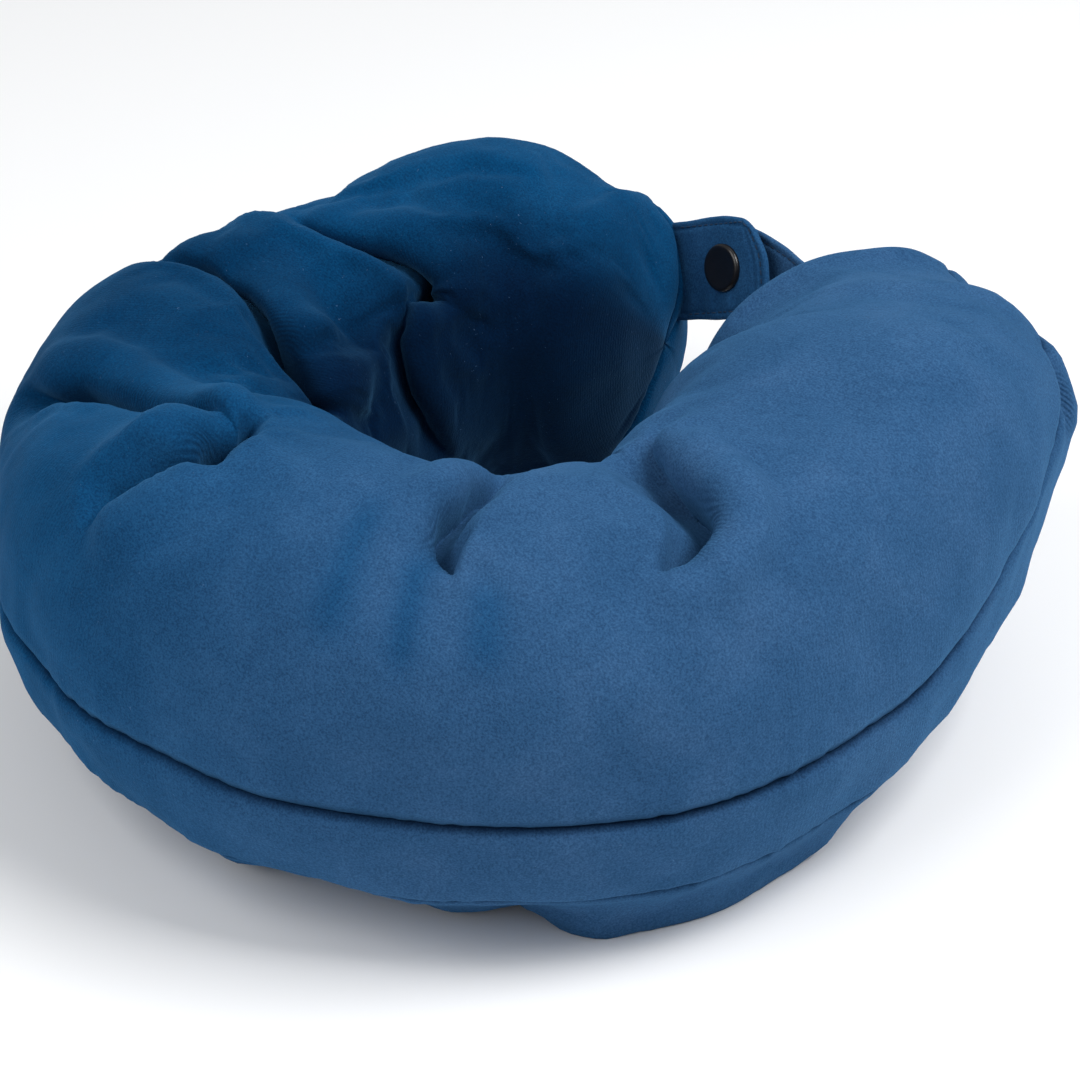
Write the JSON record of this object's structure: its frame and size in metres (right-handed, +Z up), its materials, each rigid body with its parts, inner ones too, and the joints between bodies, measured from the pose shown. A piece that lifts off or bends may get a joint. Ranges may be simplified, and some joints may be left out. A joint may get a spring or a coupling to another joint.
{
  "type": "u shaped neck pillow",
  "caption": "Soft U-shaped travel neck pillow with a loose velour cover, an inner cushion, a hidden zip and a snap strap across its throat.",
  "frame": {"origin": "on the floor under the middle of the pillow", "axes": "+Z up, +Y towards the back of the neck, -Y towards the throat, where the snap strap closes the U"},
  "size_m": [0.2859, 0.3011, 0.1262],
  "materials": {
    "velour": "deep blue velour with a short nap and a pale bloom at grazing angles",
    "cotton_case": "plain undyed cotton",
    "fibre": "white polyester fibre fill",
    "zip_tape": "woven navy tape",
    "zip_nylon": "navy nylon and lacquered slider",
    "stop_metal": "bright aluminium stops",
    "label_satin": "blank satin ribbon",
    "black_metal": "gloss black lacquered brass"
  },
  "bodies": {
    "pillow": {"cover_top_panel": "velour", "cover_side_band": "velour", "cover_bottom_panel": "velour", "inner_case_upper": "cotton_case", "inner_case_lower": "cotton_case", "fibre_filling": "fibre", "zip_tape_upper": "zip_tape", "zip_tape_lower": "zip_tape", "zip_coil_upper": "zip_nylon", "zip_coil_lower": "zip_nylon", "zip_bottom_stop": "stop_metal", "zip_top_stop": "stop_metal", "care_label": "label_satin"},
    "socket_strap": {"strap_socket_tab": "velour", "snap_cap": "black_metal", "snap_socket": "black_metal"},
    "stud_strap": {"strap_stud_tab": "velour", "snap_stud": "black_metal", "snap_back_post": "black_metal"},
    "slider": {"zip_slider": "zip_nylon"},
    "pull_tab": {"zip_pull_tab": "zip_nylon"}
  },
  "joints": [
    {"name": "socket_strap_hinge", "type": "hinge", "parent": "pillow", "child": "socket_strap", "pos_m": [0.03861, -0.11148, 0.07529], "axis": [-0.4125, 0.2948, -0.862], "range_deg": [0, 50], "stiffness_Nm_per_rad": 0.02},
    {"name": "stud_strap_hinge", "type": "hinge", "parent": "pillow", "child": "stud_strap", "pos_m": [-0.00754, -0.11462, 0.07919], "axis": [0.0957, 0.2711, -0.9578], "range_deg": [0, 85], "stiffness_Nm_per_rad": 0.02},
    {"name": "zip_travel", "type": "hinge", "parent": "pillow", "child": "slider", "pos_m": [0.002, -0.0046, 0.022], "axis": [0, 0, -1], "range_deg": [0, 105]},
    {"name": "pull_tab_hinge", "type": "hinge", "parent": "slider", "child": "pull_tab", "pos_m": [-0.03682, 0.02814, 0.02208], "axis": [0.2938, -0.2478, 0.9232], "range_deg": [0, 140]}
  ]
}
